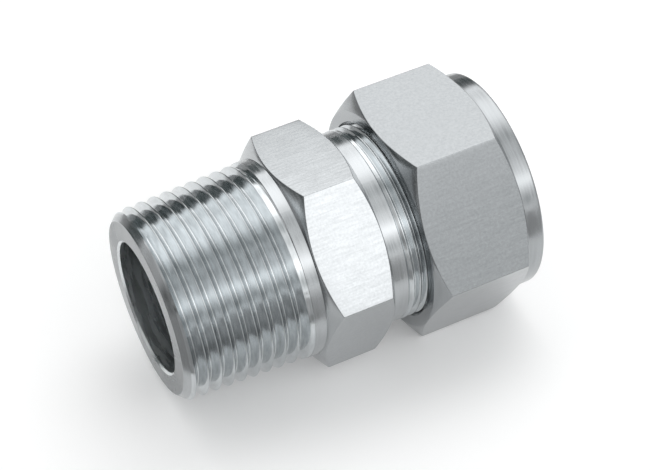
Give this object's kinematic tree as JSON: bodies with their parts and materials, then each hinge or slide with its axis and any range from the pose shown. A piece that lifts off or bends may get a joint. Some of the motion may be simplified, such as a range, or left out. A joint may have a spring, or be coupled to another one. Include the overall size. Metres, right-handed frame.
{
  "type": "male tube connector",
  "caption": "Straight stainless tube fitting: taper pipe thread, wrench hexagon and a compression nut that grips a plain tube with ferrules.",
  "frame": {"origin": "centre of the flat face at the pipe thread's end, on the fitting's axis", "axes": "+X along the axis from the pipe thread to the tube end, +Z normal to the nut's top flat, +Y completes the right-handed frame"},
  "size_m": [0.0629, 0.044, 0.038],
  "materials": {
    "body_steel": "turned and milled stainless steel, bright turned necks and satin flats",
    "nut_steel": "turned and milled stainless steel, satin flats and a bright turned collar",
    "ferrule_steel": "fine turned stainless steel"
  },
  "bodies": {
    "body": {"connector_body": "body_steel"},
    "ferrules": {"front_ferrule": "ferrule_steel", "back_ferrule": "ferrule_steel"},
    "nut": {"nut": "nut_steel"}
  },
  "joints": [
    {"name": "nut_travel", "type": "slide", "parent": "body", "child": "ferrules", "axis": [1, 0, 0], "range_m": [0, 0.007]},
    {"name": "nut_turn", "type": "hinge", "parent": "ferrules", "child": "nut", "pos_m": [0.0516, 0, 0], "axis": [1, 0, 0], "range_deg": [0, 1980]}
  ],
  "couplings": [
    {"joint": "nut_travel", "follows": "nut_turn", "m_per_rad": 0.00020213}
  ]
}
